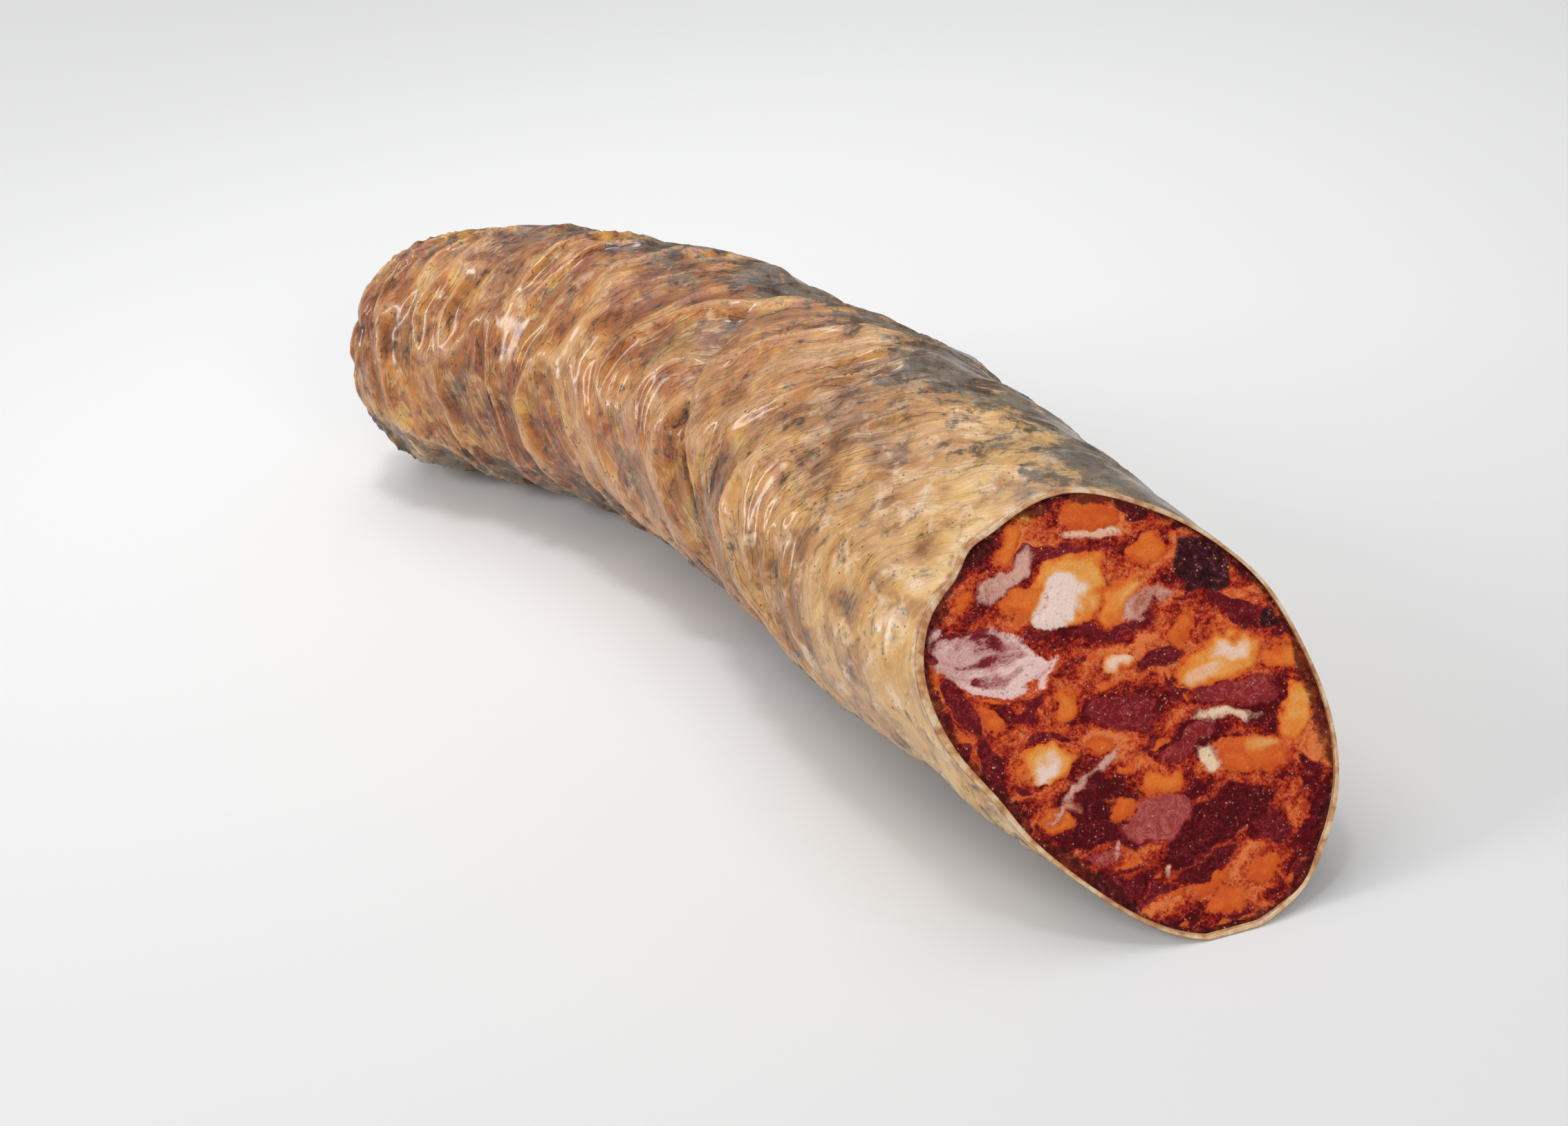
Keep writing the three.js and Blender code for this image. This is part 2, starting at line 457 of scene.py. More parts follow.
# By the knife the creases die out, and on the left the edge curls out into a thicker lip. Past the last
# station the skin draws in to the tie, in gathers.
NEAR_CUT_REACH = 2.5
LIP_AT, LIP_HALF_WIDTH, LIP_HEIGHT = math.radians(165), 0.55, 0.8
GATHERS_PER_HALF_TURN, GATHER_DEPTH, SHOULDER_DEPTH = 4.5, 1.1, 1.5
past_cut = (outside_station - at_skin) * STATION_LENGTH
near_cut = np.exp(-past_cut / NEAR_CUT_REACH)
lip_side = np.exp(-(((outside_angle - LIP_AT) / LIP_HALF_WIDTH) ** 2))
lip = near_cut * LIP_HEIGHT * lip_side
shoulder = smooth(LAST_STATION - 0.55, LAST_STATION + 0.35, outside_station)
pucker = smooth(LAST_STATION - 0.1, LAST_STATION + 0.9, outside_station)
gather_turn = outside_angle * GATHERS_PER_HALF_TURN + 1.3 * np.sin(2 * outside_angle) + 2.0 * outside_station
gathers = np.abs(np.sin(gather_turn))
height = relief * (1 - 0.85 * near_cut) * (1 - 0.4 * pucker) + lip
height = height - SHOULDER_DEPTH * shoulder - GATHER_DEPTH * pucker * (1 - gathers) ** 2
height = height + edge_dent(outside_station, outside_angle)
outside = body_point(outside_station, outside_angle, 0.0, height)

# The gathered skin runs in to a small knob, a little to the left of the far end's middle.
KNOB_LEFT, KNOB_UP, KNOB_WIDTH, KNOB_HEIGHT = 7, 4, 3.4, 2.2
end_middle = body_point(np.array(LAST_STATION + 1.0), np.array(0.0), 0.0)
end_way = np.append(spine_at(np.array(float(LAST_STATION)))[1][:2], 0)
end_way = end_way / np.linalg.norm(end_way)
knob_at = end_middle + KNOB_LEFT * np.array([-end_way[1], end_way[0], 0]) + np.array([0, 0, KNOB_UP])
knob = np.exp(-(np.linalg.norm(outside - knob_at, axis=-1) / KNOB_WIDTH) ** 2)
outside = outside + KNOB_HEIGHT * knob[..., None] * end_way

lining_steps = np.linspace(0, math.pi / 2, LINING_END_ROWS + 2)[1:-1]
lining_along = np.linspace(0, 1, LINING_ROWS - LINING_END_ROWS) ** 2
lining_rows = [at_lining + (LAST_STATION - at_lining) * w for w in lining_along]
lining_rows += [np.full_like(around, LAST_STATION + math.sin(w)) for w in lining_steps]
lining_station = np.array(lining_rows)[::-1]
lining_angle = np.broadcast_to(around, lining_station.shape)


def hidden_inset(station, angle, at_edge):
    """Depth under the skin: `at_edge` by the cut, then clear of the deepest crease."""
    past = station - cut_station(angle, at_edge)
    return at_edge + (HIDDEN_THICKNESS - at_edge) * smooth(HIDDEN_STARTS, HIDDEN_FULL, past)


def inner_point(station, angle, at_edge, clearance=0.0):
    """A point of a surface that follows the cut's dented edge and keeps `at_edge` inside the skin there."""
    dented = edge_dent(station, angle)
    return body_point(station, angle, hidden_inset(station, angle, at_edge) + clearance, dented)


lining = inner_point(lining_station, lining_angle, RIM_THICKNESS)
over_rim = np.linspace(0, math.pi, RIM_ROWS + 2)[1:-1, None, None]
rim = lining[-1] + (outside[0] - lining[-1]) * (1 - np.cos(over_rim)) / 2
rim = rim + cut_outward * RIM_PROUD * np.sin(over_rim)

casing_points = np.concatenate([lining, rim, outside])
casing_rows = len(casing_points)
inner_rows = np.zeros((casing_rows - len(outside), CASING_COLUMNS))


def over_outside(values, elsewhere=0.0):
    """Marks for every row of the casing, given those of the outside."""
    on_outside = np.broadcast_to(values, outside_station.shape)
    return np.concatenate([inner_rows + elsewhere, on_outside]).reshape(-1)


quads, places = rings(casing_rows, CASING_COLUMNS)
column_list = np.arange(CASING_COLUMNS)[None]
end_faces = [column_list, (casing_rows - 1) * CASING_COLUMNS + column_list[:, ::-1]]
# On the map each row is a strip: the lining takes 5 percent, the rim 2, and the outside the rest after a gap.
share_of_map = np.concatenate([
    np.linspace(0, 0.05, len(lining)),
    np.linspace(0.05, 0.07, RIM_ROWS + 1)[1:],
    np.linspace(0.075, 1, len(outside)),
])
uv_quads = np.stack([places[..., 0] / CASING_COLUMNS, share_of_map[places[..., 1]]], -1).reshape(-1, 2)
uv_ends = np.concatenate([np.full((CASING_COLUMNS, 2), 0.0), np.full((CASING_COLUMNS, 2), 1.0)])
lip_share = near_cut**3 + 0.8 * near_cut**1.3 * lip_side
casing = mesh_piece(
    "casing_skin",
    casing_points.reshape(-1, 3),
    [quads] + end_faces,
    np.concatenate([uv_quads, uv_ends]),
    {
        "crest": over_outside(crest),
        "across": over_outside(crease_across(outside_station, outside_angle)),
        "hollow": over_outside(-relief),
        "station": over_outside(outside_station, CUT_STATION),
        "facing_up": over_outside(np.sin(outside_angle)),
        "facing_left": over_outside(-np.cos(outside_angle)),
        "rim": np.concatenate([
            np.full(lining.shape[:2], 0.6),
            np.full(rim.shape[:2], 1.0),
            lip_share,
        ]).reshape(-1),
    },
)
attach(casing, "root")
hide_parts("casing")

gut = Finish(
    "dried_gut",
    Specular_IOR_Level=0.3,
    Coat_Weight=0.6,
    Coat_Roughness=0.16,
    Subsurface_Weight=0.1,
    Subsurface_Radius=(1.0, 0.45, 0.2),
    Subsurface_Scale=0.0015,
)
# Colour in patches, blotches, grain and dust, and in pleats and threads that follow the creases.
patch = gut.noise(15, 3, 0.55, 0.8)
blotch = gut.noise(5.0, 4, 0.6, 0.6)
grain = gut.noise(0.9, 3, 0.6)
dust = gut.noise(0.35, 2, 0.7)
up, left = gut.mark("facing_up"), gut.mark("facing_left")
across = gut.mark("across")
pleat_place = gut.node("ShaderNodeCombineXYZ", {}, {0: across * 0.42, 1: up * 2.6, 2: left * 2.6})
pleat_field = gut.noise(1, 3, 0.55, 0.3, pleat_place) - 0.5
pleat = gut.step(0.0045, 0.0, pleat_field * pleat_field)
thread_place = gut.node("ShaderNodeCombineXYZ", {}, {0: across * 0.9, 1: up * 5, 2: left * 5})
streak = gut.noise(1, 4, 0.65, 0.2, thread_place)
station = gut.mark("station")
far = gut.step(1.9, 4.6, station + patch * 3.0 - 1.5 + (streak - 0.5) * 1.2)
folded = gut.step(1.7, 3.2, station + (patch - 0.5) * 1.5)
tone = patch * 0.45 + blotch * 0.47 + streak * 0.08
near_tone = patch * 0.42 + gut.noise(8, 3, 0.5, 1.0) * 0.42 + streak * 0.16
near_colour = gut.ramp(near_tone, [
    (0.39, (0.230, 0.092, 0.030)),
    (0.46, (0.500, 0.230, 0.070)),
    (0.52, (0.760, 0.420, 0.125)),
    (0.61, (0.980, 0.680, 0.290)),
])
far_colour = gut.ramp(tone, [
    (0.38, (0.210, 0.058, 0.014)),
    (0.46, (0.440, 0.138, 0.026)),
    (0.53, (0.620, 0.240, 0.042)),
    (0.61, (0.790, 0.420, 0.080)),
])
# Tan by the cut turns to rust further on, with a blush of meat showing through, and pale patches that are
# painted wet highlights.
skin = gut.mix(far, near_colour, far_colour)
blush = gut.step(0.50, 0.62, gut.noise(8, 3, 0.6, 1.0)) * (0.25 + folded * 0.35)
skin = gut.mix(blush, skin, (0.450, 0.140, 0.066))
pale = gut.step(0.53, 0.66, gut.noise(4.5, 4, 0.6, 0.5)) * (1 - far)
skin = gut.mix(pale * 0.6, skin, (0.960, 0.720, 0.500))
# Painted shade darkens the hollows, and painted highlights make the crests and the fine pleats pale.
crest_mark, hollow = gut.mark("crest"), gut.mark("hollow")
painted_hollow_shade = gut.step(-0.1, 1.1, hollow + (streak - 0.5) * 0.5)
skin = gut.mix(painted_hollow_shade * folded * 0.55, skin, (0.170, 0.058, 0.026))
painted_crest_highlight = gut.step(0.50, 1.0, crest_mark + (streak - 0.5) * 0.4)
skin = gut.mix(painted_crest_highlight * 0.55, skin, (0.800, 0.480, 0.240))
skin = gut.mix(pleat * (0.18 + folded * 0.27) * gut.step(0.45, 0.6, blotch), skin, (0.750, 0.500, 0.290))
# Mould lies thickest underneath, along the back and in the hollows.
ragged_left = left + (patch - 0.5) * 1.6 + (blotch - 0.5) * 0.6
back_edge = gut.step(0.05, -0.5, ragged_left) * gut.step(0.05, 0.55, up + (patch - 0.5) * 1.2)
mould_place = gut.step(-0.1, -0.75, up) + back_edge * 0.85 + gut.step(0.3, -0.6, left) * 0.3
mould_grain = gut.noise(3.2, 5, 0.72, 0.4) * 0.7 + streak * 0.3
mould = gut.step(0.50, 0.64, mould_grain + mould_place * 0.15 + hollow * folded * 0.04 - 0.02)
mould_colour = gut.mix(gut.step(0.44, 0.58, blotch), (0.024, 0.019, 0.014), (0.110, 0.116, 0.104))
skin = gut.mix(mould * 0.85, skin, mould_colour)
bloom = gut.step(0.45, 0.62, gut.noise(6, 3, 0.6)) * gut.step(0.2, 1.2, mould_place)
skin = gut.mix(bloom * 0.35, skin, (0.440, 0.340, 0.240))
speck = gut.node("ShaderNodeTexVoronoi", {}, {"Vector": gut.place, "Scale": 0.8})
specks = gut.step(0.20, 0.08, speck) * gut.step(0.47, 0.56, gut.noise(4.5, 2))
skin = gut.mix(specks * 0.8, skin, (0.045, 0.026, 0.015))
# The cut edge is bare gut.
rim_colour = gut.ramp(gut.noise(2.2, 3, 0.6), [
    (0.38, (0.480, 0.190, 0.070)),
    (0.50, (0.700, 0.400, 0.180)),
    (0.62, (0.820, 0.610, 0.400)),
])
skin = gut.mix(gut.step(0.35, 0.9, gut.mark("rim") + (grain - 0.5) * 0.5), skin, rim_colour)
sheen = 0.46 - painted_crest_highlight * 0.14 - pleat * 0.08 + mould * 0.3 + (grain - 0.5) * 0.3
bumps = pleat * (0.15 + folded * 0.35) + grain * 0.3 + dust * 0.12
bumps = bumps + streak * (0.35 + folded * 0.15) + blotch * 0.9
BUMP_DEPTH = 0.6 * MM
gut.wear(casing, skin, sheen, bumps, BUMP_DEPTH)


# ---- The filling -----------------------------------------------------------------------------------------
# Coarse lean and fat, chopped, kneaded with paprika, stuffed and dried into one mass, then cut with a knife.
# The cut face is laid out piece by piece on a raster, and the mesh takes its marks and relief from there.

RASTER_STEP = 0.125
RASTER_HALF = 36.0
MEAT_INSET = RIM_THICKNESS - 0.05
MEAT_CLEARANCE = 0.3
FACE_SUNK = 0.15
PLUMPNESS = 2.4
OUTSIDE = -9.0
GRAIN_TURN = 0.3

# Each piece: middle to the right and up the cut, length, width, turn in degrees, and a tone. Lean runs from
# burgundy, 0, to pink, 1, and fat from red-orange to gold. A core or a piece of gristle has its paleness, and
# the marbled piece and the dark ones have no tone.
LEAN = [
    (-4.0, 2.8, 9.3, 4.2, -4, 0.35),
    (2.8, -3.2, 8.1, 3.0, 6, 0.45),
    (-12.1, -9.2, 13.2, 6.0, 12, 0.0),
    (-9.0, -12.0, 6.5, 4.0, -35, 0.05),
    (-3.9, -11.4, 9.6, 5.9, -3, 0.75),
    (4.6, -14.4, 17.5, 4.9, 14, 0.0),
    (-1.0, -16.3, 8.0, 3.6, 30, 0.0),
    (10.5, -16.6, 5.3, 3.9, 9, 0.2),
    (1.3, -19.3, 8.4, 2.3, 10, 0.05),
    (-10.4, -20.2, 5.1, 3.1, -3, 0.15),
    (11.7, 0.8, 10.5, 3.6, -9, 0.5),
    (-1.7, 14.0, 11.1, 2.8, 8, 0.2),
    (15.5, 10.9, 8.7, 3.8, -35, 0.15),
    (-6.4, 24.7, 10.6, 2.1, -2, 0.3),
    (3.4, 8.9, 7.5, 2.8, 25, 0.15),
    (-13.0, -15.5, 4.6, 2.3, 6, 0.65),
    (-24.0, 8.1, 8.3, 3.6, 103, 0.2),
    (-22.6, -0.2, 8.7, 3.2, 88, 0.1),
    (-3.8, 33.0, 4.5, 1.7, -14, 0.0),
    (18.6, -9.9, 4.2, 2.5, -57, 0.05),
    (17.2, -16.2, 8.2, 2.3, 52, 0.05),
    (-16.2, 27.2, 7.6, 2.4, 40, 0.1),
    (6.0, 28.9, 4.8, 2.2, -46, 0.05),
]
FAT = [
    (-9.6, 31.2, 7.5, 4.2, -8, 0.9),
    (-12.0, 27.9, 5.5, 3.0, 63, 0.35),
    (0.1, 29.1, 7.6, 4.9, -29, 0.1),
    (6.5, 22.5, 6.7, 4.7, 10, 0.3),
    (-5.2, 19.2, 12.3, 8.9, 36, 0.8),
    (0.6, 17.5, 8.5, 3.8, 35, 0.6),
    (-11.5, 19.1, 6.9, 3.7, -3, 0.3),
    (-2.9, 8.8, 5.4, 3.2, 26, 0.5),
    (-10.7, 5.3, 4.9, 3.8, 69, 0.35),
    (10.9, 6.1, 11.5, 6.5, -1, 0.7),
    (19.0, -2.6, 10.1, 4.1, 44, 0.75),
    (18.6, 3.5, 5.8, 3.2, 7, 0.4),
    (10.8, -7.0, 9.6, 5.2, -8, 0.15),
    (-15.0, -2.1, 8.4, 4.9, -3, 0.75),
    (-7.5, -1.8, 4.0, 2.4, -13, 0.2),
    (-1.8, -7.4, 7.3, 3.1, 11, 0.35),
    (-7.9, -9.5, 4.0, 2.4, 71, 0.15),
    (-16.5, -9.0, 4.0, 3.0, -40, 0.4),
    (2.8, -24.3, 4.7, 3.5, -11, 0.15),
    (9.1, -22.1, 5.2, 2.9, 6, 0.1),
    (1.6, -21.4, 5.2, 2.0, 5, 0.1),
    (3.0, 31.7, 2.7, 2.1, -9, 0.1),
    (-19.5, 5.1, 5.5, 3.3, -57, 0.15),
    (7.4, 12.1, 3.8, 3.6, 41, 0.15),
    (-18.3, 21.3, 3.3, 1.6, 17, 0.3),
    (-26.3, 13.8, 1.6, 3.4, 0, 0.2),
]
CORES = [
    (-7.0, 17.4, 9.6, 5.4, 50, 1.0),
    (-2.6, 9.0, 4.4, 1.6, 32, 0.95),
    (8.6, 5.2, 5.4, 2.6, 12, 0.62),
    (12.9, 7.0, 4.2, 2.4, -12, 0.75),
    (-15.6, -2.9, 4.4, 2.4, 20, 0.9),
    (-10.2, 31.6, 4.5, 1.8, -8, 0.25),
    (12.4, -6.2, 4.6, 1.8, -10, 0.4),
    (3.0, 18.6, 3.4, 1.6, 40, 0.4),
]
GRISTLE = [
    (0.0, 26.3, 7.9, 1.6, -11, 0.75),
    (-12.6, 22.9, 8.4, 2.8, 28, 0.45),
    (3.8, 16.0, 6.6, 2.0, 6, 0.35),
    (9.1, -1.9, 8.8, 1.5, -14, 0.95),
    (5.8, -7.0, 4.8, 2.5, 101, 1.0),
    (-15.2, -8.3, 4.6, 1.0, 8, 0.4),
    (-11.4, -6.4, 5.6, 1.0, 26, 0.45),
    (-7.2, -3.9, 5.2, 1.2, 40, 0.45),
    (-4.2, -18.6, 2.0, 1.3, 66, 0.7),
    (-10.9, -14.6, 2.2, 0.6, 60, 0.8),
]
MARBLED = (-18.6, 13.8, 15.0, 7.8, -27)
DRIED_DARK = [(12.7, 18.4, 8.6, 6.9, 65), (18.6, 9.0, 4.0, 2.6, -46), (-15.6, 28.2, 3.0, 1.6, 40)]

raster_line = np.arange(-RASTER_HALF, RASTER_HALF + RASTER_STEP / 2, RASTER_STEP)
raster_u, raster_v = np.meshgrid(raster_line, raster_line, indexing="ij")


def face_cloud(size, seed):
    """Random field on the cut face: a flat slice of a cloud, at a height of its own for each seed."""
    return cloud(np.stack([raster_u, raster_v, np.full_like(raster_u, seed * 1.7)], -1), size, seed)


# Every piece's outline is bent by three sizes of random shift.
bent_u = raster_u + 1.5 * face_cloud(6.0, 41) + 0.9 * face_cloud(2.4, 42) + 0.42 * face_cloud(0.9, 43)
bent_v = raster_v + 1.5 * face_cloud(6.0, 44) + 0.9 * face_cloud(2.4, 45) + 0.42 * face_cloud(0.9, 46)


def depth_inside(u, v, length, width, turn):
    """Depth in millimetres below the edge of a superellipse on the bent raster, negative outside it."""
    c, s = math.cos(math.radians(turn)), math.sin(math.radians(turn))
    along = ((bent_u - u) * c + (bent_v - v) * s) / (length / 2)
    over = (-(bent_u - u) * s + (bent_v - v) * c) / (width / 2)
    return (1 - (np.abs(along) ** PLUMPNESS + np.abs(over) ** PLUMPNESS) ** (1 / PLUMPNESS)) * width / 2


# Later pieces lie over earlier ones: fat cuts into lean, gristle into both, and the marbled piece and the
# dark ones into all.
lean, fat, gristle = (np.full_like(raster_u, OUTSIDE) for _ in range(3))
tone, gold, core = np.full_like(raster_u, 0.2), np.full_like(raster_u, 0.2), np.zeros_like(raster_u)
for *oval, pink in LEAN:
    depth = depth_inside(*oval)
    lean = np.maximum(lean, depth)
    tone += (pink - tone) * smooth(-0.3, 0.3, depth)
for *oval, golden in FAT:
    depth = depth_inside(*oval)
    lean = np.minimum(lean, -depth)
    gold += (golden - gold) * smooth(-0.3, 0.3, depth)
    fat = np.maximum(np.minimum(fat, np.abs(depth)), depth)
for *oval, white in CORES:
    core = np.maximum(core, white * smooth(-0.9, 0.7, depth_inside(*oval)))
marble_depth = depth_inside(*MARBLED)
for *oval, pale in GRISTLE:
    depth = depth_inside(*oval)
    fat, lean = np.minimum(fat, -depth), np.minimum(lean, -depth)
    tone += (pale - tone) * smooth(-0.2, 0.2, depth)
    gristle = np.maximum(gristle, depth)
fat, lean = np.minimum(fat, -marble_depth), np.minimum(lean, -marble_depth)
dark = np.max([depth_inside(*oval) for oval in DRIED_DARK], axis=0)
lean, fat = np.minimum(lean, -dark), np.minimum(fat, -dark)

# The grain of the meat runs round each piece and otherwise up to the right.
nearest = np.maximum.reduce([lean, fat, gristle, marble_depth])
slope_u, slope_v = np.gradient(nearest, RASTER_STEP)
steep = np.hypot(slope_u, slope_v) + 1e-6
flow_u, flow_v = -slope_v / steep, slope_u / steep
grain_u, grain_v = math.cos(GRAIN_TURN), math.sin(GRAIN_TURN)
backward = np.where(flow_u * grain_u + flow_v * grain_v < 0, -1, 1)
hold = np.exp(-((nearest / 2.0) ** 2))
flow_u = hold * flow_u * backward + (1.1 - hold) * grain_u
flow_v = hold * flow_v * backward + (1.1 - hold) * (grain_v + 0.5 * face_cloud(9, 47))
flow_length = np.hypot(flow_u, flow_v)
flow_u, flow_v = flow_u / flow_length, flow_v / flow_length


def look_up(field, u, v):
    """Values of a raster field at places on the face, blended from the four nearest."""
    top = len(raster_line) - 1.001
    i = np.clip((u + RASTER_HALF) / RASTER_STEP, 0, top)
    j = np.clip((v + RASTER_HALF) / RASTER_STEP, 0, top)
    i0, j0 = i.astype(int), j.astype(int)
    a, b = i - i0, j - j0
    low = field[i0, j0] * (1 - a) + field[i0 + 1, j0] * a
    high = field[i0, j0 + 1] * (1 - a) + field[i0 + 1, j0 + 1] * a
    return low * (1 - b) + high * b


def fibres(field, reach):
    """A field averaged along the grain for `reach` millimetres each way, then set to mean 0 and spread 1."""
    total = field.copy()
    stride = 2 * RASTER_STEP
    for direction in (-stride, stride):
        u, v = raster_u, raster_v
        for _ in range(int(reach / stride)):
            i = np.clip((u + RASTER_HALF) / RASTER_STEP, 0, len(raster_line) - 1).astype(int)
            j = np.clip((v + RASTER_HALF) / RASTER_STEP, 0, len(raster_line) - 1).astype(int)
            u, v = u + direction * flow_u[i, j], v + direction * flow_v[i, j]
            total = total + field[i, j]
    return (total - total.mean()) / total.std()


threads = fibres(np.random.default_rng(5).uniform(-1, 1, raster_u.shape), 1.6)
strands = fibres(face_cloud(1.0, 48), 3.5)
bands = fibres(face_cloud(2.6, 49), 4.5)
shreds = fibres(face_cloud(1.5, 54), 2.5)
smears = fibres(face_cloud(1.3, 55), 1.6)

lean = lean + 0.14 * strands + 0.10 * threads
fat = fat + 0.12 * strands + 0.06 * threads
gristle = gristle + 0.08 * strands + 0.08 * threads
marble_depth = marble_depth + 0.30 * strands + 0.12 * threads

# Between the placed pieces lie shreds of lean and smears of fat, drawn out along the grain.
open_paste = smooth(-0.2, -0.7, nearest) * smooth(-0.2, -0.7, dark)
lean = np.maximum(lean, np.minimum((shreds - 1.1) * 0.9, 0.6) - 2 * (1 - open_paste))
fat = np.maximum(fat, np.minimum((smears - 1.45) * 0.8, 0.45) - 2 * (1 - open_paste))

# Tone of the paste, share of white in the marbled piece, and height of the face in millimetres.
paste = 0.50 + 0.15 * bands + 0.12 * strands + 0.05 * threads + 0.12 * face_cloud(1.3, 50)
paste = paste + 0.14 * smooth(-2.2, 0, fat) - 0.12 * smooth(-1.0, 0, lean)
marble_side = smooth(-2.5, 4, (raster_u - MARBLED[0]) - 1.2 * (raster_v - MARBLED[1]))
marble = 0.46 + 0.26 * np.tanh(0.9 * strands + 0.6 * bands) + 0.05 * threads + 0.34 * marble_side
crevice = np.exp(-((nearest / 0.22) ** 2))
relief = 0.16 * smooth(0, 0.9, fat) + 0.10 * smooth(0, 0.5, gristle) - 0.05 * smooth(0, 0.6, lean)
relief = relief - 0.12 * crevice + 0.35 * face_cloud(9, 51) + 0.05 * strands * (fat < 0)
relief = relief + (0.12 * face_cloud(0.55, 52) + 0.03 * threads) * smooth(0.3, -0.1, fat)
relief = relief - 0.25 * smooth(0, 1.5, dark) + 0.16 * face_cloud(0.9, 53) * smooth(0, 1, dark)

# The face is a square grid drawn out to the cut's outline. Behind it the mass fills the casing to its end.
FACE_CELLS = 280
BODY_ROWS = 12
outline_angle = np.linspace(-math.pi, math.pi, 1440, endpoint=False)
outline_edge = inner_point(cut_station(outline_angle, MEAT_INSET), outline_angle, MEAT_INSET) - cut_middle
outline_u, outline_v = outline_edge @ cut_right, outline_edge @ cut_up
outline_way = np.unwrap(np.arctan2(outline_v, outline_u))
outline_far = np.hypot(outline_u, outline_v)

# Square to disc: the longer of the two sides is the radius, and the shorter's share of it is the turn.
side = np.linspace(-1, 1, FACE_CELLS + 1)
square_x, square_y = np.meshgrid(side, side, indexing="ij")
wide = np.abs(square_x) > np.abs(square_y)
long_side = np.where(wide, square_x, square_y)
short_share = np.where(wide, square_y, square_x) / np.where(long_side == 0, 1, long_side)
disc_turn = np.where(wide, math.pi / 4 * short_share, math.pi / 2 - math.pi / 4 * short_share)
disc_x, disc_y = long_side * np.cos(disc_turn), long_side * np.sin(disc_turn)
way, share = np.arctan2(disc_y, disc_x), np.hypot(disc_x, disc_y)
edge_far = np.interp(way, outline_way, outline_far, period=2 * math.pi)
face_u, face_v = share * edge_far * np.cos(way), share * edge_far * np.sin(way)
from_edge = (1 - share) * edge_far
rise = look_up(relief, face_u, face_v) * smooth(0, 0.8, from_edge)
rise = rise - FACE_SUNK - 0.15 * smooth(1.5, 0, from_edge)
face = cut_middle + face_u[..., None] * cut_right + face_v[..., None] * cut_up + rise[..., None] * cut_outward

index = np.arange((FACE_CELLS + 1) ** 2).reshape(FACE_CELLS + 1, -1)
rim_loop = np.concatenate([index[:-1, 0], index[-1, :-1], index[:0:-1, -1], index[0, :0:-1]])
rim_way = way.reshape(-1)[rim_loop]
way_on_outline = np.mod(rim_way - outline_way[0], 2 * math.pi) + outline_way[0]
turning = np.interp(way_on_outline, outline_way, outline_angle)
first_station = cut_station(turning, MEAT_INSET)
body_rows = [first_station + 0.02 + (LAST_STATION - first_station) * w for w in np.linspace(0, 1, BODY_ROWS)]
body_rows += [np.full_like(turning, LAST_STATION + w) for w in (0.5, 0.85, 0.98)]
body_station = np.array(body_rows)
body_angle = np.broadcast_to(turning, body_station.shape)
body = inner_point(body_station, body_angle, MEAT_INSET, MEAT_CLEARANCE)

filling_points = np.concatenate([face.reshape(-1, 3), body.reshape(-1, 3)])
corners = [index[:-1, :-1], index[1:, :-1], index[1:, 1:], index[:-1, 1:]]
face_quads = np.stack(corners, -1).reshape(-1, 4)
columns = len(rim_loop)
body_index = np.concatenate([rim_loop[None], index.size + np.arange(body_station.size).reshape(-1, columns)])
loop = np.concatenate([body_index, body_index[:, :1]], axis=1)
body_quads = np.stack([loop[:-1, :-1], loop[1:, :-1], loop[1:, 1:], loop[:-1, 1:]], -1).reshape(-1, 4)
end_face = body_index[-1][::-1][None]

# On the map the face is a square, and the rest of the mass is a strip beyond it.
FACE_ON_MAP = 0.88
square = np.stack([square_x, square_y], -1).reshape(-1, 2) * 0.49 + 0.5
strip_rows = np.linspace(FACE_ON_MAP + 0.02, 1, len(body_index))
uv_loop = np.stack(np.meshgrid(np.arange(columns + 1) / columns, strip_rows), -1)
body_uv = np.stack([uv_loop[:-1, :-1], uv_loop[1:, :-1], uv_loop[1:, 1:], uv_loop[:-1, 1:]], 2).reshape(-1, 2)
face_uv = square[face_quads.reshape(-1)] * FACE_ON_MAP

# Each mark's name, its field on the face, and its value behind the face.
face_marks = [
    ("lean", lean, -1),
    ("fat", fat, -1),
    ("gristle", gristle, -1),
    ("tone", tone, 0.2),
    ("core", core, 0),
    ("gold", gold, 0.2),
    ("paste", paste, 0.3),
    ("marble", marble, 0),
    ("marbled", marble_depth, -1),
    ("dark", dark, -1),
    ("threads", threads, 0),
    ("strands", strands, 0),
]
marks = {
    name: np.concatenate([look_up(field, face_u, face_v).reshape(-1), np.full(body_station.size, behind)])
    for name, field, behind in face_marks
}
marks["from_edge"] = np.concatenate([from_edge.reshape(-1), np.zeros(body_station.size)])
filling = mesh_piece(
    "filling_meat",
    filling_points,
    [face_quads, body_quads, end_face],
    np.concatenate([face_uv, body_uv, np.full((columns, 2), 0.999)]),
    marks,
)
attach(filling, "root")
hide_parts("filling")

meat = Finish(
    "cured_meat",
    Specular_IOR_Level=0.1,
    Subsurface_Weight=0.08,
    Subsurface_Radius=(1.0, 0.35, 0.15),
    Subsurface_Scale=0.001,
)
# The paste, fine crumbs of fat and meat in paprika, is under everything.
crumb = meat.noise(0.85, 3, 0.68)
fleck = meat.noise(0.36, 2, 0.6)
ragged = (crumb - 0.5) * 0.9 + (fleck - 0.5) * 0.5
threads_mark, tone_mark = meat.mark("threads"), meat.mark("tone")
paste_tone = meat.mark("paste") + (crumb - 0.5) * 1.0 + (fleck - 0.5) * 0.9
colour = meat.ramp(paste_tone, [
    (0.20, (0.105, 0.001, 0.004)),
    (0.36, (0.290, 0.012, 0.008)),
    (0.50, (0.480, 0.040, 0.012)),
    (0.66, (0.660, 0.090, 0.022)),
    (0.90, (0.860, 0.220, 0.060)),
])
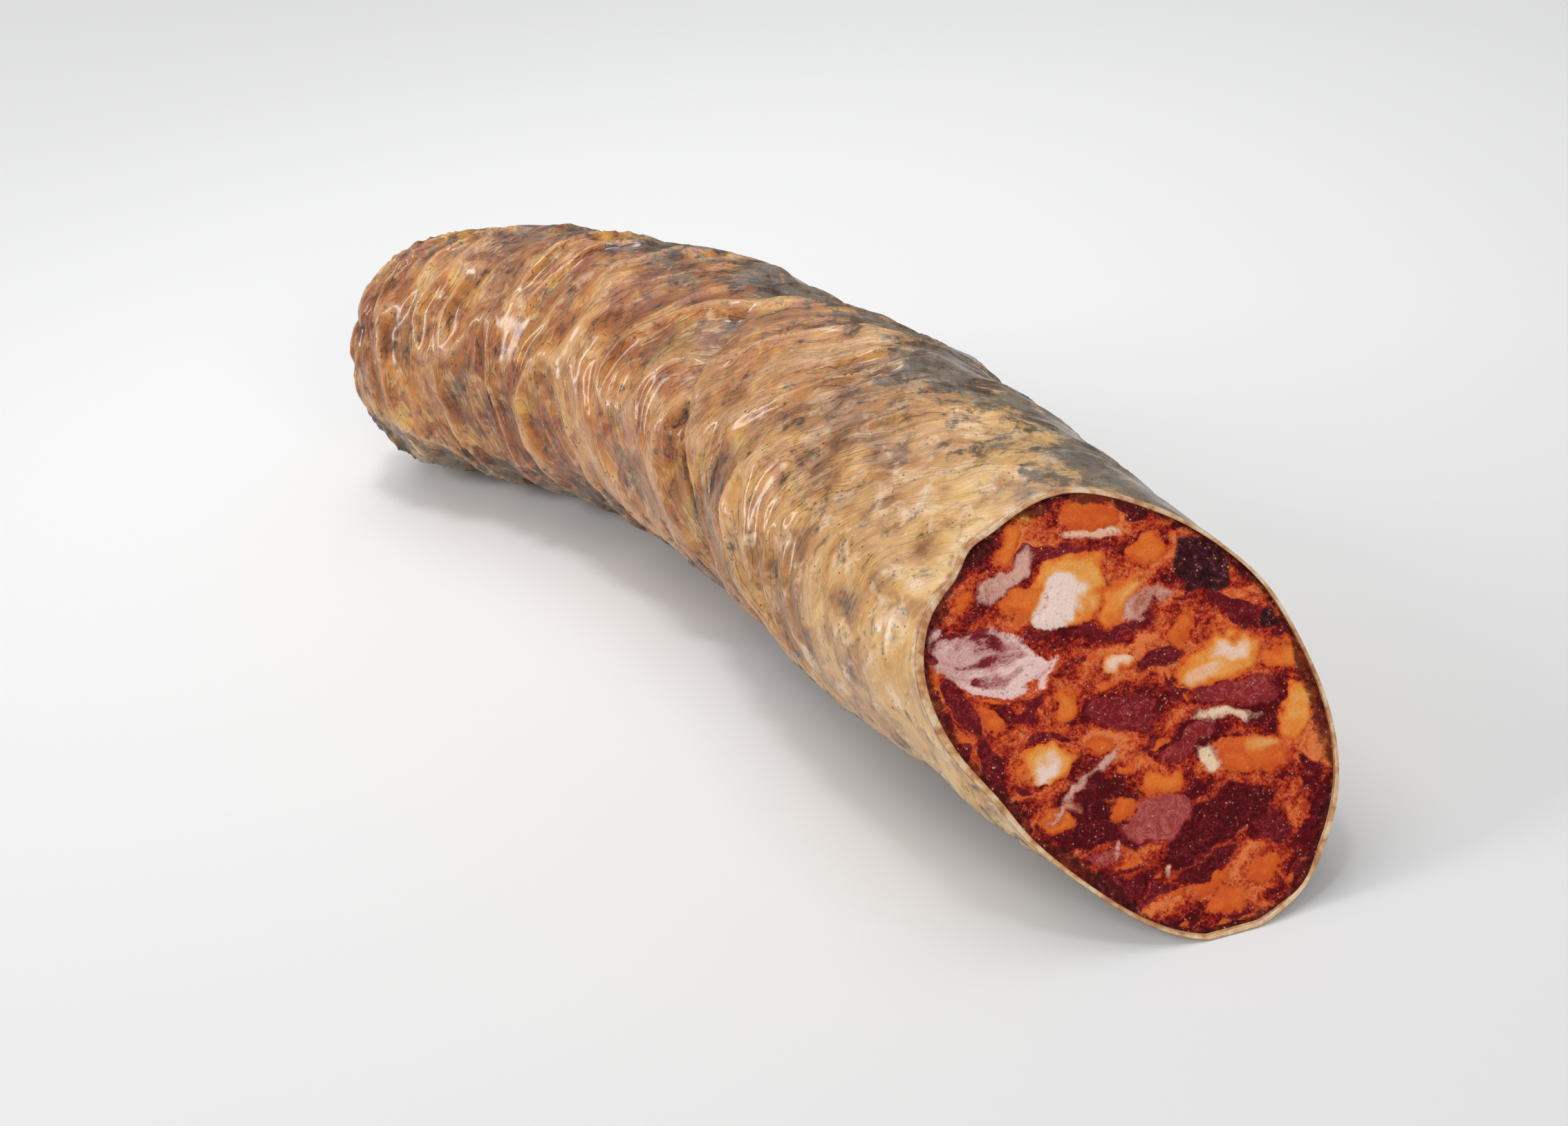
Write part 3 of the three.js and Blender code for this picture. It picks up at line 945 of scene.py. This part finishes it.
# Lean, from burgundy to pink, with pale veins.
vein = meat.noise(1.9, 3, 0.6, 0.8) - 0.5
vein = meat.step(0.0012, 0.0, vein * vein)
lean_tone = tone_mark + threads_mark * 0.06 + (crumb - 0.5) * 0.4 + vein * 0.3
lean_colour = meat.ramp(lean_tone, [
    (0.00, (0.085, 0.001, 0.004)),
    (0.30, (0.190, 0.009, 0.014)),
    (0.60, (0.360, 0.030, 0.034)),
    (1.00, (0.540, 0.130, 0.105)),
])
colour = meat.mix(meat.step(-0.16, 0.16, meat.mark("lean") + ragged * 0.6), colour, lean_colour)
# Fat, soaked with paprika from its edge inwards, and white in the core of the larger pieces.
strands_mark, fat_mark = meat.mark("strands"), meat.mark("fat")
core_mark = meat.mark("core") + (crumb - 0.5) * 0.25 + strands_mark * 0.05
seam = meat.step(-0.5, -0.05, fat_mark + ragged) * meat.step(0.5, 0.3, crumb)
colour = meat.mix(seam * 0.5, colour, (0.150, 0.010, 0.008))
soaked = meat.noise(2.4, 4, 0.62, 0.8) - 0.5
fat_tone = meat.mark("gold") * meat.step(-0.3, 1.2, fat_mark + ragged * 0.5)
fat_tone = fat_tone + (crumb - 0.5) * 0.2 + soaked * 0.7
fat_colour = meat.ramp(fat_tone, [
    (0.00, (0.700, 0.098, 0.016)),
    (0.30, (0.830, 0.185, 0.024)),
    (0.65, (0.900, 0.310, 0.052)),
    (0.95, (0.940, 0.450, 0.120)),
])
fat_colour = meat.mix(meat.step(0.05, 0.50, core_mark) * 0.7, fat_colour, (0.920, 0.430, 0.110))
fat_colour = meat.mix(meat.step(0.30, 1.0, core_mark), fat_colour, (0.990, 0.740, 0.640))
colour = meat.mix(meat.step(-0.12, 0.24, fat_mark + ragged * 0.55 + soaked * 0.8), colour, fat_colour)
# Gristle, the marbled piece, and the dark pieces that dried out at the edge.
gristle_tone = tone_mark + strands_mark * 0.07 + threads_mark * 0.04 + (crumb - 0.5) * 0.3
gristle_colour = meat.ramp(gristle_tone, [
    (0.22, (0.520, 0.130, 0.070)),
    (0.45, (0.740, 0.410, 0.330)),
    (0.75, (0.900, 0.490, 0.330)),
    (1.00, (0.980, 0.710, 0.480)),
])
colour = meat.mix(meat.step(-0.25, 0.40, meat.mark("gristle") + ragged * 0.6), colour, gristle_colour)
marble_colour = meat.ramp(meat.mark("marble") + (fleck - 0.5) * 0.2, [
    (0.32, (0.120, 0.006, 0.012)),
    (0.50, (0.280, 0.026, 0.034)),
    (0.63, (0.680, 0.350, 0.310)),
    (0.84, (0.970, 0.650, 0.600)),
])
colour = meat.mix(meat.step(-0.35, 0.2, meat.mark("marbled") + ragged * 0.8), colour, marble_colour)
dark_colour = meat.ramp(crumb, [
    (0.35, (0.020, 0.002, 0.004)),
    (0.60, (0.080, 0.010, 0.014)),
    (0.75, (0.300, 0.150, 0.130)),
])
colour = meat.mix(meat.step(-0.3, 0.3, meat.mark("dark") + ragged), colour, dark_colour)
# A dried, darker border under the skin, and painted glints of wet shine: small pale specks, fewer where the
# fat is.
dried_in = meat.step(0.42, 0.66, meat.noise(7, 2)) * 1.6
skin_line = meat.step(1.1, 0.15, meat.mark("from_edge") + ragged * 1.6 - dried_in)
dried_colour = meat.ramp(crumb, [
    (0.38, (0.030, 0.003, 0.004)),
    (0.55, (0.110, 0.008, 0.008)),
    (0.70, (0.260, 0.040, 0.016)),
])
colour = meat.mix(skin_line * 0.85, colour, dried_colour)
glint = meat.node("ShaderNodeTexVoronoi", {}, {"Vector": meat.place, "Scale": 1.45})
off_fat = 0.45 + meat.step(0.2, -0.1, fat_mark) * 0.55
glints = meat.step(0.28, 0.12, glint) * meat.step(0.45, 0.60, crumb) * off_fat
colour = meat.mix(glints * 0.7, colour, (1.0, 0.62, 0.40))
gloss = 0.42 - meat.step(0.0, 0.5, fat_mark) * 0.08 + (fleck - 0.5) * 0.4
meat.wear(filling, colour, gloss, crumb * 0.6 + fleck * 0.5 + glints * 0.4, BUMP_DEPTH)
